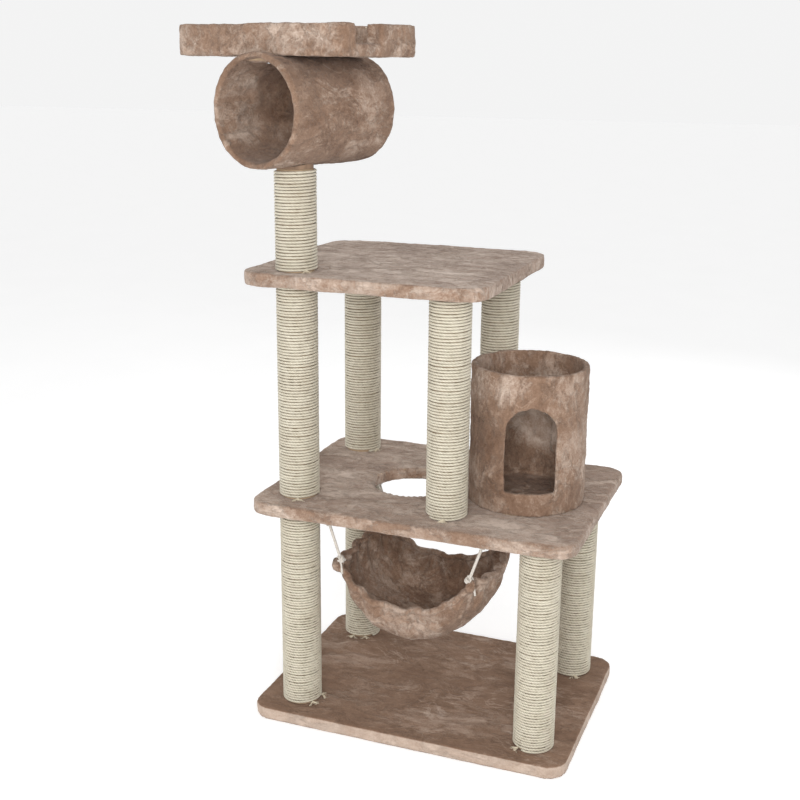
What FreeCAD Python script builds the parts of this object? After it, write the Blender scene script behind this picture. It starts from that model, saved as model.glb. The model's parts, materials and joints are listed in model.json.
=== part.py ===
import FreeCAD, Part
import math
import os

from FreeCAD import Placement, Rotation, Vector

# Free-standing cat tree. Millimetres. Origin at the centre of the base's underside,
# +X to the right, +Y to the back, +Z up.

# ---- driving dimensions -------------------------------------------------------------

# Sisal-wrapped posts
POST_R = 44.5
TUBE_R = 38.0
TUBE_WALL = 3.0
PLUG_LENGTH = 26.0
POST_LENGTH = 467.5
TOP_POST_LENGTH = 210.0
LEFT_X = -270.0
MIDDLE_X = 71.0
RIGHT_X = 278.0
FRONT_Y = -182.0
BACK_Y = 178.0

# Decks: particle board wrapped in plush; x and y give the centre
PLUSH = 3.0
DECK_THICKNESS = 28.0
DECK_EDGE_R = 8.0
BASE = {"x": 0.0, "y": 0.0, "width": 725.0, "depth": 527.0, "corner": 45.0}
MID = {"x": 4.0, "y": -3.0, "width": 721.0, "depth": 536.0, "corner": 48.0}
UPPER = {"x": -111.0, "y": 14.0, "width": 535.0, "depth": 536.0, "corner": 60.0}
HOLE_X = -66.0
HOLE_Y = -11.0
HOLE_R = 92.0

# Condo: an upright open-topped drum with an arched door
CONDO_X = 196.6
CONDO_Y = -12.8
CONDO_R = 125.3
CONDO_HEIGHT = 303.0
CONDO_FLOOR_T = 12.0
DOOR_TURN = 17.8
DOOR_WIDTH = 106.0
DOOR_SILL = 48.0
DOOR_TOP = 233.0
SHELL_WALL = 6.0

# Lookout: a lying tunnel on the top post, with a rimmed tray on its crown
LOOKOUT_TURN = 15.5
TUNNEL_R = 112.1
TUNNEL_LENGTH = 311.4
TUNNEL_AHEAD = 37.0
CROWN_FLAT = 104.2
SADDLE_R = 38.0
SADDLE_T = 3.5
SADDLE_BLANK = 20.0
SWIVEL_GAP = 0.4
TRAY_WIDTH = 447.0
TRAY_DEPTH = 246.0
TRAY_LEFT = 25.0
TRAY_BACK = -2.0
TRAY_CORNER = 30.0
TRAY_BOARD_T = 16.0
TRAY_HEIGHT = 60.0
RIM_WIDTH = 34.0
ENTRY_FROM_FRONT = 80.0
ENTRY_WIDTH = 82.0

# Hammock: a cloth bowl on four cords under the middle deck
HOOK_LEFT_X = -205.0
HOOK_RIGHT_X = 157.0
HOOK_FRONT_Y = -182.0
HOOK_BACK_Y = 110.0
EYE_RING_R = 6.0
EYE_WIRE_R = 1.5
CORD_R = 3.25
CORD_DROP = 103.0
CORD_LEAN = 34.0
CLOTH_T = 7.0
BOWL_DEPTH = 195.0
FRONT_RIM_DROP = 90.0
SIDE_RIM_DROP = 18.0
BOWL_SIDE_BULGE = 0.17
BOWL_FRONT_BULGE = 0.10

# Fasteners
BOLT_R = 4.0
BOLT_CLEARANCE_R = 4.6
BOLT_HEAD_R = 6.5
BOLT_HEAD_H = 8.0
BOLT_BITE = 15.0
HEX_KEY_R = 3.2
WASHER_R = 11.0
WASHER_T = 1.6
RECESS_R = 12.0
RECESS_DEPTH = 10.0
INSERT_R = 6.5
INSERT_BORE_R = 4.1
INSERT_LENGTH = 18.0
SCREW_R = 2.0
SCREW_HEAD_R = 4.5
SCREW_HEAD_H = 2.5
CONDO_SCREW_BITE = 8.0
TRAY_SCREW_LENGTH = 28.0
EYE_SHANK_REACH = 20.0

# ---- levels and places that follow from them ----------------------------------------

UP = Vector(0, 0, 1)
DOWN = Vector(0, 0, -1)
BASE_TOP = DECK_THICKNESS
MID_BOTTOM = BASE_TOP + POST_LENGTH
MID_TOP = MID_BOTTOM + DECK_THICKNESS
UPPER_BOTTOM = MID_TOP + POST_LENGTH
UPPER_TOP = UPPER_BOTTOM + DECK_THICKNESS
TOP_POST_TOP = UPPER_TOP + TOP_POST_LENGTH
TUNNEL_Z = TOP_POST_TOP + SWIVEL_GAP + SADDLE_T + TUNNEL_R
TRAY_BOTTOM = CROWN_FLAT + 0.3
EYE_PIVOT_Z = MID_BOTTOM - 16.0
CORNER_Z = EYE_PIVOT_Z - CORD_DROP

LOWER_POSTS = {
    "lower_front_left": (LEFT_X, FRONT_Y),
    "lower_back_left": (LEFT_X, BACK_Y),
    "lower_front_right": (RIGHT_X, FRONT_Y),
    "lower_back_right": (RIGHT_X, BACK_Y),
}
UPPER_POSTS = {
    "upper_front_left": (LEFT_X, FRONT_Y),
    "upper_back_left": (LEFT_X, BACK_Y),
    "upper_front_middle": (MIDDLE_X, FRONT_Y),
    "upper_back_middle": (MIDDLE_X, BACK_Y),
}
BASE_BOLTS = list(LOWER_POSTS.values())
MID_STUDS = [(LEFT_X, FRONT_Y), (LEFT_X, BACK_Y)]
MID_DOWN_BOLTS = [(RIGHT_X, FRONT_Y), (RIGHT_X, BACK_Y)]
MID_UP_BOLTS = [(MIDDLE_X, FRONT_Y), (MIDDLE_X, BACK_Y)]
UPPER_STUDS = [(LEFT_X, FRONT_Y)]
UPPER_DOWN_BOLTS = [(LEFT_X, BACK_Y), (MIDDLE_X, FRONT_Y), (MIDDLE_X, BACK_Y)]
HOOKS = {
    "front_left": (HOOK_LEFT_X, HOOK_FRONT_Y, 1),
    "front_right": (HOOK_RIGHT_X, HOOK_FRONT_Y, -1),
    "back_left": (HOOK_LEFT_X, HOOK_BACK_Y, 1),
    "back_right": (HOOK_RIGHT_X, HOOK_BACK_Y, -1),
}
CONDO_SCREW_RING_R = 80.0
CONDO_SCREWS = [
    (CONDO_X + CONDO_SCREW_RING_R * math.cos(a), CONDO_Y + CONDO_SCREW_RING_R * math.sin(a))
    for a in [math.radians(45 + 90 * k) for k in range(4)]
]
TRAY_SCREW_OFFSETS = [-80.0, 80.0]


# ---- shape helpers ------------------------------------------------------------------

def export(node, shape):
    """Write one node's STEP file."""
    shape.exportStep("parts/" + node + ".step")


def group(shapes):
    """Several separate solids kept together as one node."""
    return Part.makeCompound(shapes)


def disc(r, height, x=0.0, y=0.0, z=0.0):
    """An upright cylinder standing on z."""
    return Part.makeCylinder(r, height, Vector(x, y, z), UP)


def ring(outer_r, inner_r, height, x=0.0, y=0.0, z=0.0):
    """An upright tube standing on z."""
    return disc(outer_r, height, x, y, z).cut(disc(inner_r, height, x, y, z))


def slab(width, depth, height, corner, x=0.0, y=0.0, z=0.0):
    """A flat plate with round corners, centred on x and y, standing on z."""
    box = Part.makeBox(width, depth, height, Vector(x - width / 2, y - depth / 2, z))
    upright = [e for e in box.Edges if abs(e.tangentAt(e.FirstParameter).z) > 0.9]
    return box.makeFillet(corner, upright)


def round_rims(shape, radius, level):
    """Round the edges of a plate that lie flat at the given height."""
    rim = [
        e
        for e in shape.Edges
        if abs(e.BoundBox.ZMin - level) < 1e-3 and abs(e.BoundBox.ZMax - level) < 1e-3
    ]
    return shape.makeFillet(radius, rim)


# ---- decks --------------------------------------------------------------------------

def deck_board(deck, bottom, top):
    """The bare board inside a deck, one plush thickness in from its sides."""
    width = deck["width"] - 2 * PLUSH
    depth = deck["depth"] - 2 * PLUSH
    return slab(width, depth, top - bottom, deck["corner"] - PLUSH, deck["x"], deck["y"], bottom)


def deck_skin(deck, bottom, height):
    """The outside form of a plush-covered deck, with soft edges."""
    skin = slab(deck["width"], deck["depth"], height, deck["corner"], deck["x"], deck["y"], bottom)
    return round_rims(skin, DECK_EDGE_R, bottom + height)


def drill(shape, places, r, z, height):
    """Take upright holes of radius r out of a shape."""
    for x, y in places:
        shape = shape.cut(disc(r, height, x, y, z))
    return shape


def make_base():
    """Base board, bare underneath, and the plush stretched over its top and sides."""
    board = deck_board(BASE, 0.0, BASE_TOP - PLUSH)
    cover = deck_skin(BASE, 0.0, DECK_THICKNESS).cut(board)
    board = drill(board, BASE_BOLTS, BOLT_CLEARANCE_R, 0.0, BASE_TOP)
    board = drill(board, BASE_BOLTS, RECESS_R, 0.0, RECESS_DEPTH)
    cover = drill(cover, BASE_BOLTS, BOLT_CLEARANCE_R, 0.0, BASE_TOP)
    export("base_board", board)
    export("base_cover", cover)


def wrapped_deck(deck, bottom):
    """A board and the plush wrapped all round it, as two solids."""
    board = deck_board(deck, bottom + PLUSH, bottom + DECK_THICKNESS - PLUSH)
    skin = round_rims(deck_skin(deck, bottom, DECK_THICKNESS), DECK_EDGE_R, bottom)
    return board, skin


def make_mid_deck():
    """Middle deck with its round plush-lined way through."""
    board, skin = wrapped_deck(MID, MID_BOTTOM)
    hole = (HOLE_X, HOLE_Y)
    board = drill(board, [hole], HOLE_R + PLUSH, MID_BOTTOM, DECK_THICKNESS)
    cover = drill(skin, [hole], HOLE_R, MID_BOTTOM, DECK_THICKNESS).cut(board)
    through = MID_STUDS + MID_UP_BOLTS
    board = drill(board, through + MID_DOWN_BOLTS, BOLT_CLEARANCE_R, MID_BOTTOM, DECK_THICKNESS)
    board = drill(board, MID_DOWN_BOLTS, RECESS_R, MID_TOP - PLUSH - RECESS_DEPTH, RECESS_DEPTH)
    cover = drill(cover, through, BOLT_CLEARANCE_R, MID_BOTTOM, DECK_THICKNESS)
    cover = drill(cover, MID_DOWN_BOLTS, BOLT_CLEARANCE_R, MID_BOTTOM, DECK_THICKNESS / 2)
    cover = drill(cover, MID_UP_BOLTS, RECESS_R, MID_BOTTOM, PLUSH)
    board = drill(board, CONDO_SCREWS, SCREW_R + 0.1, MID_BOTTOM, DECK_THICKNESS)
    cover = drill(cover, CONDO_SCREWS, SCREW_R + 0.1, MID_BOTTOM, DECK_THICKNESS)
    eyes = [(x, y) for x, y, side in HOOKS.values()]
    board = drill(board, eyes, EYE_WIRE_R + 0.1, MID_BOTTOM, DECK_THICKNESS - 2 * PLUSH)
    cover = drill(cover, eyes, EYE_WIRE_R + 0.1, MID_BOTTOM, PLUSH)
    export("mid_board", board)
    export("mid_cover", cover)


def make_upper_deck():
    """Upper deck, which carries the lookout's post."""
    board, skin = wrapped_deck(UPPER, UPPER_BOTTOM)
    cover = skin.cut(board)
    places = UPPER_STUDS + UPPER_DOWN_BOLTS
    board = drill(board, places, BOLT_CLEARANCE_R, UPPER_BOTTOM, DECK_THICKNESS)
    board = drill(board, UPPER_DOWN_BOLTS, RECESS_R, UPPER_TOP - PLUSH - RECESS_DEPTH, RECESS_DEPTH)
    cover = drill(cover, UPPER_STUDS, BOLT_CLEARANCE_R, UPPER_BOTTOM, DECK_THICKNESS)
    cover = drill(cover, UPPER_DOWN_BOLTS, BOLT_CLEARANCE_R, UPPER_BOTTOM, DECK_THICKNESS / 2)
    export("upper_board", board)
    export("upper_cover", cover)


# ---- posts --------------------------------------------------------------------------

def threaded_insert(x, y, z, bore_r=INSERT_BORE_R):
    """A sleeve nut pressed into a post plug, its bore plain in place of a thread."""
    return ring(INSERT_R, bore_r, INSERT_LENGTH, x, y, z)


def make_post(name, x, y, bottom, length):
    """One post: cardboard core tube, sisal rope wrap and a wooden plug in each end."""
    sisal = ring(POST_R, TUBE_R + 0.1, length, x, y, bottom)
    tube = ring(TUBE_R, TUBE_R - TUBE_WALL, length, x, y, bottom)
    plug_r = TUBE_R - TUBE_WALL - 0.1
    plugs = []
    for z, insert_z in [
        (bottom, bottom),
        (bottom + length - PLUG_LENGTH, bottom + length - INSERT_LENGTH),
    ]:
        plug = disc(plug_r, PLUG_LENGTH, x, y, z)
        plug = plug.cut(disc(INSERT_R, INSERT_LENGTH, x, y, insert_z))
        plugs.append(plug.cut(disc(BOLT_CLEARANCE_R, PLUG_LENGTH, x, y, z)))
    export(name + "_sisal", sisal)
    export(name + "_tube", tube)
    export(name + "_plugs", group(plugs))


def make_posts():
    """All nine posts and the threaded inserts in their plugs."""
    inserts = []
    stacks = [(LOWER_POSTS, BASE_TOP), (UPPER_POSTS, MID_TOP)]
    for posts, bottom in stacks:
        for name, (x, y) in posts.items():
            make_post(name, x, y, bottom, POST_LENGTH)
            inserts.append(threaded_insert(x, y, bottom))
            inserts.append(threaded_insert(x, y, bottom + POST_LENGTH - INSERT_LENGTH))
    make_post("top_post", LEFT_X, FRONT_Y, UPPER_TOP, TOP_POST_LENGTH)
    inserts.append(threaded_insert(LEFT_X, FRONT_Y, UPPER_TOP))
    swivel_insert_z = TOP_POST_TOP - INSERT_LENGTH
    inserts.append(threaded_insert(LEFT_X, FRONT_Y, swivel_insert_z, BOLT_CLEARANCE_R))
    export("post_inserts", group(inserts))


# ---- fasteners ----------------------------------------------------------------------

def bolt(x, y, seat_z, direction, length):
    """A socket-head bolt: its head bears on a washer at seat_z, its shank goes along direction."""
    seat = Vector(x, y, seat_z) - direction * WASHER_T
    head = Part.makeCylinder(BOLT_HEAD_R, BOLT_HEAD_H, seat, direction * -1)
    end = seat - direction * BOLT_HEAD_H
    socket = Part.makeCylinder(HEX_KEY_R, BOLT_HEAD_H / 2, end, direction)
    shank = Part.makeCylinder(BOLT_R, length + WASHER_T, seat, direction)
    return head.cut(socket).fuse(shank)


def washer(x, y, seat_z, direction):
    """The washer under a bolt head."""
    low = seat_z if direction.z < 0 else seat_z - WASHER_T
    return ring(WASHER_R, BOLT_R + 0.1, WASHER_T, x, y, low)


def wood_screw(x, y, seat_z, length):
    """A pan-head screw driven upwards, its head below seat_z."""
    head = disc(SCREW_HEAD_R, SCREW_HEAD_H, x, y, seat_z - SCREW_HEAD_H)
    return head.fuse(disc(SCREW_R, length, x, y, seat_z))


def make_fasteners():
    """Bolts, washers and studs that hold the posts to the decks."""
    base_reach = DECK_THICKNESS - RECESS_DEPTH + BOLT_BITE
    deck_reach = DECK_THICKNESS - PLUSH - RECESS_DEPTH + BOLT_BITE
    up_reach = DECK_THICKNESS - PLUSH + BOLT_BITE
    base_bolts = [bolt(x, y, RECESS_DEPTH, UP, base_reach) for x, y in BASE_BOLTS]
    washers = [washer(x, y, RECESS_DEPTH, UP) for x, y in BASE_BOLTS]
    rise_bolts = [bolt(x, y, MID_BOTTOM + PLUSH, UP, up_reach) for x, y in MID_UP_BOLTS]
    washers += [washer(x, y, MID_BOTTOM + PLUSH, UP) for x, y in MID_UP_BOLTS]
    drop_bolts = []
    for places, top in [(MID_DOWN_BOLTS, MID_TOP), (UPPER_DOWN_BOLTS, UPPER_TOP)]:
        seat = top - PLUSH - RECESS_DEPTH
        for x, y in places:
            drop_bolts.append(bolt(x, y, seat, DOWN, deck_reach))
            washers.append(washer(x, y, seat, DOWN))
    studs = []
    for places, bottom in [(MID_STUDS, MID_BOTTOM), (UPPER_STUDS, UPPER_BOTTOM)]:
        for x, y in places:
            studs.append(disc(BOLT_R, DECK_THICKNESS + 2 * BOLT_BITE, x, y, bottom - BOLT_BITE))
    export("base_bolts", group(base_bolts))
    export("deck_rise_bolts", group(rise_bolts))
    export("deck_drop_bolts", group(drop_bolts))
    export("bolt_washers", group(washers))
    export("joining_studs", group(studs))


# ---- condo --------------------------------------------------------------------------

def door_prism(margin):
    """The arched doorway as a solid bar through the drum's wall, grown by margin all round."""
    half = DOOR_WIDTH / 2 + margin
    sill = DOOR_SILL - margin
    spring = DOOR_TOP + margin - half
    left = Vector(-half, 0, spring)
    right = Vector(half, 0, spring)
    outline = Part.Wire([
        Part.LineSegment(Vector(-half, 0, sill), Vector(half, 0, sill)).toShape(),
        Part.LineSegment(Vector(half, 0, sill), right).toShape(),
        Part.Arc(right, Vector(0, 0, DOOR_TOP + margin), left).toShape(),
        Part.LineSegment(left, Vector(-half, 0, sill)).toShape(),
    ])
    bar = Part.Face(outline).extrude(Vector(0, -2 * CONDO_R, 0))
    bar.rotate(Vector(0, 0, 0), UP, DOOR_TURN)
    return bar


def make_condo():
    """Drum on the middle deck: board floor, cardboard wall, plush inside and out."""
    wall_out = CONDO_R - PLUSH
    wall_in = wall_out - SHELL_WALL
    lining = wall_in - PLUSH
    tube_height = CONDO_HEIGHT - PLUSH
    floor = disc(wall_in - 0.1, CONDO_FLOOR_T)
    tube = ring(wall_out, wall_in, tube_height).cut(door_prism(PLUSH))
    cover = round_rims(disc(CONDO_R, CONDO_HEIGHT), PLUSH, CONDO_HEIGHT)
    cover = cover.cut(disc(lining, CONDO_HEIGHT, z=CONDO_FLOOR_T + PLUSH))
    cover = cover.cut(ring(wall_out, wall_in, tube_height).cut(door_prism(PLUSH)))
    cover = cover.cut(disc(wall_in, CONDO_FLOOR_T)).cut(door_prism(0.0))
    place = Vector(CONDO_X, CONDO_Y, MID_TOP)
    for node, shape in [("condo_floor", floor), ("condo_tube", tube), ("condo_cover", cover)]:
        shape.translate(place)
        if node == "condo_floor":
            shape = drill(shape, CONDO_SCREWS, SCREW_R, MID_TOP, CONDO_SCREW_BITE)
        export(node, shape)
    reach = DECK_THICKNESS + CONDO_SCREW_BITE
    screws = [wood_screw(x, y, MID_BOTTOM, reach) for x, y in CONDO_SCREWS]
    export("condo_screws", group(screws))


# ---- lookout ------------------------------------------------------------------------

def flat_crowned_bar(r, length, flat, flat_length):
    """A round bar along Y whose crown is flattened at height flat for its middle stretch."""
    bar = Part.makeCylinder(r, length, Vector(0, -length / 2, 0), Vector(0, 1, 0))
    over = Part.makeBox(2 * r, flat_length, r, Vector(-r, -flat_length / 2 + TRAY_BACK, flat))
    return bar.cut(over)


def tunnel_layer(outset, end_outset):
    """The tunnel's form, grown by outset from its skin (negative inwards)."""
    flat_length = TRAY_DEPTH + 1.0 - 2 * outset
    return flat_crowned_bar(
        TUNNEL_R + outset, TUNNEL_LENGTH + 2 * end_outset, CROWN_FLAT + outset, flat_length
    )


def tray_outline(inset, bottom, top, corner):
    """A round-cornered plate of the tray's plan, inset all round, between two heights."""
    return slab(
        TRAY_WIDTH - 2 * inset, TRAY_DEPTH - 2 * inset, top - bottom, corner, -TRAY_LEFT, TRAY_BACK, bottom
    )


def entry_block(extra):
    """The entry gap in the tray's right side, widened by extra at each end."""
    right = -TRAY_LEFT + TRAY_WIDTH / 2
    front = TRAY_BACK - TRAY_DEPTH / 2 + ENTRY_FROM_FRONT - ENTRY_WIDTH / 2
    low = TRAY_BOTTOM + 2 * PLUSH + TRAY_BOARD_T - extra
    corner = Vector(right - RIM_WIDTH - 2 * PLUSH, front - extra, low)
    return Part.makeBox(RIM_WIDTH + 20.0, ENTRY_WIDTH + 2 * extra, TRAY_HEIGHT, corner)


def place_lookout(shape):
    """Turn a lookout piece to its resting heading and set it on the top post."""
    turn = math.radians(LOOKOUT_TURN)
    ahead = Vector(math.sin(turn), math.cos(turn), 0) * TUNNEL_AHEAD
    where = Vector(LEFT_X, FRONT_Y, TUNNEL_Z) + ahead
    shape.Placement = Placement(where, Rotation(UP, -LOOKOUT_TURN))
    return shape


def make_tunnel():
    """Tunnel tube with plush inside and out, its saddle on the post, and the clamp bolt."""
    tube = tunnel_layer(-PLUSH, -PLUSH)
    tube = tube.cut(tunnel_layer(-PLUSH - SHELL_WALL, 1.0))
    cover = tunnel_layer(0.0, 0.0)
    cover = cover.cut(tunnel_layer(-2 * PLUSH - SHELL_WALL, 1.0))
    screw_x = -TRAY_LEFT
    pilot = [
        Part.makeCylinder(SCREW_R + 0.1, TUNNEL_R, Vector(screw_x, TRAY_BACK + y, 0), UP)
        for y in TRAY_SCREW_OFFSETS
    ]
    cover = cover.cut(tube)
    bolt_way = Part.makeCylinder(BOLT_CLEARANCE_R, TUNNEL_R, Vector(0, -TUNNEL_AHEAD, 0), DOWN)
    tube = tube.cut(bolt_way).cut(group(pilot))
    cover = cover.cut(bolt_way).cut(group(pilot))
    saddle = disc(SADDLE_R, SADDLE_BLANK, LEFT_X, FRONT_Y, TOP_POST_TOP + SWIVEL_GAP)
    hollow = Part.makeCylinder(
        TUNNEL_R + 0.2, TUNNEL_LENGTH, Vector(0, -TUNNEL_LENGTH / 2, 0), Vector(0, 1, 0)
    )
    saddle = saddle.cut(place_lookout(hollow))
    saddle = saddle.cut(disc(BOLT_CLEARANCE_R, SADDLE_BLANK, LEFT_X, FRONT_Y, TOP_POST_TOP))
    export("tunnel_tube", place_lookout(tube))
    export("tunnel_cover", place_lookout(cover))
    export("tunnel_saddle", saddle)
    seat = TUNNEL_Z - TUNNEL_R + 2 * PLUSH + SHELL_WALL + 1.0
    export("lookout_bolt", bolt(LEFT_X, FRONT_Y, seat, DOWN, seat - TOP_POST_TOP + BOLT_BITE))
    export("lookout_washer", washer(LEFT_X, FRONT_Y, seat, DOWN))


def make_tray():
    """Tray on the tunnel's crown: board, C-shaped foam rim and one plush cover."""
    board_z = TRAY_BOTTOM + PLUSH
    rim_z = board_z + TRAY_BOARD_T
    top = TRAY_BOTTOM + TRAY_HEIGHT
    inner = RIM_WIDTH + PLUSH
    inner_corner = 12.0
    board = tray_outline(PLUSH, board_z, rim_z, TRAY_CORNER - PLUSH)
    rim = tray_outline(PLUSH, rim_z, top - PLUSH, TRAY_CORNER - PLUSH)
    rim = rim.cut(tray_outline(inner, rim_z, top, inner_corner)).cut(entry_block(PLUSH))
    cover = tray_outline(0.0, TRAY_BOTTOM, top, TRAY_CORNER)
    cover = round_rims(round_rims(cover, PLUSH + 2, top), PLUSH, TRAY_BOTTOM)
    cover = cover.cut(tray_outline(inner + PLUSH, rim_z + PLUSH, top, inner_corner - PLUSH))
    cover = cover.cut(entry_block(0.0)).cut(board).cut(rim)
    screws = []
    seat = CROWN_FLAT - 2 * PLUSH - SHELL_WALL
    for y in TRAY_SCREW_OFFSETS:
        screw = wood_screw(-TRAY_LEFT, TRAY_BACK + y, seat, TRAY_SCREW_LENGTH)
        hole = disc(SCREW_R, TRAY_SCREW_LENGTH, -TRAY_LEFT, TRAY_BACK + y, seat)
        board = board.cut(hole)
        cover = cover.cut(hole)
        screws.append(screw)
    export("tray_board", place_lookout(board))
    export("tray_rim_foam", place_lookout(rim))
    export("tray_cover", place_lookout(cover))
    export("tray_screws", place_lookout(group(screws)))


# ---- hammock ------------------------------------------------------------------------

def make_eye_screws():
    """Four screw eyes in the middle deck's underside; each ring hangs below the plush."""
    eyes = []
    for x, y, side in HOOKS.values():
        centre = Vector(x, y, EYE_PIVOT_Z + EYE_RING_R)
        eye = Part.makeTorus(EYE_RING_R, EYE_WIRE_R, centre, Vector(0, 1, 0))
        shank_z = centre.z + EYE_RING_R - 0.2
        eye = eye.fuse(disc(EYE_WIRE_R, MID_BOTTOM + EYE_SHANK_REACH - shank_z, x, y, shank_z))
        eyes.append(eye)
    export("eye_screws", group(eyes))


def make_cords():
    """The hammock's four cords, straight from eye to cloth corner."""
    for name, (x, y, side) in HOOKS.items():
        top = Vector(x, y, EYE_PIVOT_Z)
        run = Vector(side * CORD_LEAN, 0, -CORD_DROP)
        along = Vector(run).normalize()
        start = top + along * (EYE_WIRE_R + 1.0)
        length = run.Length - EYE_WIRE_R - 3.0
        export("cord_" + name, Part.makeCylinder(CORD_R, length, start, along))


def bowl_point(a, b, inset):
    """A point of the cloth: a runs left to right and b front to back, each from -90 to 90."""
    half_x = (HOOK_RIGHT_X - HOOK_LEFT_X) / 2 - CORD_LEAN
    half_y = (HOOK_BACK_Y - HOOK_FRONT_Y) / 2
    ca, sa = math.cos(a), math.sin(a)
    cb, sb = math.cos(b), math.sin(b)
    x = half_x * sa * (1 + BOWL_SIDE_BULGE * cb * cb) * (1 - inset / half_x)
    y = half_y * sb * (1 + BOWL_FRONT_BULGE * ca * ca) * (1 - inset / half_y)
    drop = (BOWL_DEPTH - inset) * ca * cb
    drop += FRONT_RIM_DROP * ca * sb * sb + SIDE_RIM_DROP * cb * sa * sa
    centre_x = (HOOK_RIGHT_X + HOOK_LEFT_X) / 2
    centre_y = (HOOK_BACK_Y + HOOK_FRONT_Y) / 2
    return Vector(centre_x + x, centre_y + y, CORNER_Z - drop)


def bowl_surface(inset):
    """A smooth surface through a grid of the bowl's points."""
    angles = [math.radians(-90 + 15 * k) for k in range(13)]
    surface = Part.BSplineSurface()
    surface.interpolate([[bowl_point(a, b, inset) for b in angles] for a in angles])
    return surface


def make_hammock():
    """The cloth as a closed thin bowl."""
    outer = bowl_surface(0.0).toShape()
    inner = bowl_surface(CLOTH_T).toShape()
    faces = [outer.Faces[0], inner.Faces[0]]
    for low, high in zip(outer.Edges, inner.Edges):
        faces.append(Part.makeRuledSurface(low, high))
    shell = Part.makeShell(faces)
    shell.sewShape()
    bowl = Part.makeSolid(Part.Shell(shell.Faces))
    if bowl.Volume < 0:
        bowl.reverse()
    export("hammock_cloth", bowl)


def main():
    """Make every node."""
    os.makedirs("parts", exist_ok=True)
    make_base()
    make_mid_deck()
    make_upper_deck()
    make_posts()
    make_fasteners()
    make_condo()
    make_tunnel()
    make_tray()
    make_eye_screws()
    make_cords()
    make_hammock()


main()
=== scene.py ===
import json
import math
import random

import bmesh
import bpy
import numpy as np
from mathutils import Matrix, Vector, noise


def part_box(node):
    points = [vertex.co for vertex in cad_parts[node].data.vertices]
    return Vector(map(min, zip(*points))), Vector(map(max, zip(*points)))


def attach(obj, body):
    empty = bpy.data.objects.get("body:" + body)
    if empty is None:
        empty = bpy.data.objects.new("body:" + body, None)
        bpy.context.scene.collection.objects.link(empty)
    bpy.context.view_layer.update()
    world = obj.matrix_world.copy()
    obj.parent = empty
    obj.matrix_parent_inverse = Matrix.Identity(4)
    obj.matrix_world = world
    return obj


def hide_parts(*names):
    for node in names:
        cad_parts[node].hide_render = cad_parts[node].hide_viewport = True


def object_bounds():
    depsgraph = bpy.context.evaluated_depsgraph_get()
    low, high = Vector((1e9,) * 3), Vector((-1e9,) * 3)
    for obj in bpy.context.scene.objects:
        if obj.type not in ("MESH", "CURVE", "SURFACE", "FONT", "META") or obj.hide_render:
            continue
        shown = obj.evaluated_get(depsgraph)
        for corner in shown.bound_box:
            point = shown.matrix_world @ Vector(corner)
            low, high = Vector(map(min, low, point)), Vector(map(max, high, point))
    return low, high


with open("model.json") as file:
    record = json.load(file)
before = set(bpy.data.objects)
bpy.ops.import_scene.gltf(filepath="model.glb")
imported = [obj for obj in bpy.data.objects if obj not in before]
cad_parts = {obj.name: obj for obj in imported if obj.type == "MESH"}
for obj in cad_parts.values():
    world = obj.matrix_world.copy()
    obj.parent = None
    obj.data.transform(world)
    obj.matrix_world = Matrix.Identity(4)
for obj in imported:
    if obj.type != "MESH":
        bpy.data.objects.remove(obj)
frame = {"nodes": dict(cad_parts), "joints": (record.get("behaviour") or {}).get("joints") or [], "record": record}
NODES = frame["nodes"]
CAD_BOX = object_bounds()
TAU = 2 * math.pi
UP = Vector((0, 0, 1))


# ---- places read from the CAD frame ------------------------------------------------

def centre(node):
    """Middle of a CAD node's box."""
    low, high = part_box(node)
    return (low + high) / 2


def joint(name):
    """A joint of the record by name."""
    return next(j for j in frame["joints"] if j["name"] == name)


# ---- camera, light and floor -------------------------------------------------------

CAMERA_AT = Vector((0.8264, -2.4451, 1.4389))
CAMERA_AZIMUTH = math.radians(20.86)
CAMERA_DOWN = math.radians(15.61)
CAMERA_ROLL = math.radians(0.51)
CAMERA_LENS = 54.36


def make_camera():
    """The camera at the photograph's viewing angle."""
    data = bpy.data.cameras.new("camera")
    data.lens = CAMERA_LENS
    data.sensor_width = 36.0
    data.clip_start = 0.05
    camera = bpy.data.objects.new("camera", data)
    bpy.context.scene.collection.objects.link(camera)
    level = math.cos(CAMERA_DOWN)
    forward = Vector((
        -math.sin(CAMERA_AZIMUTH) * level, math.cos(CAMERA_AZIMUTH) * level, -math.sin(CAMERA_DOWN),
    ))
    right = forward.cross(UP).normalized()
    up = right.cross(forward)
    rolled_right = right * math.cos(CAMERA_ROLL) + up * math.sin(CAMERA_ROLL)
    rolled_up = up * math.cos(CAMERA_ROLL) - right * math.sin(CAMERA_ROLL)
    turn = Matrix((rolled_right, rolled_up, -forward)).transposed()
    camera.matrix_world = Matrix.Translation(CAMERA_AT) @ turn.to_4x4()
    bpy.context.scene.camera = camera


def area_light(name, place, aim, size, watts):
    """A soft square lamp at place, facing aim."""
    data = bpy.data.lights.new(name, "AREA")
    data.shape = "SQUARE"
    data.size = size
    data.energy = watts
    lamp = bpy.data.objects.new(name, data)
    bpy.context.scene.collection.objects.link(lamp)
    lamp.location = place
    lamp.rotation_euler = (Vector(aim) - Vector(place)).to_track_quat("-Z", "Y").to_euler()


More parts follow.
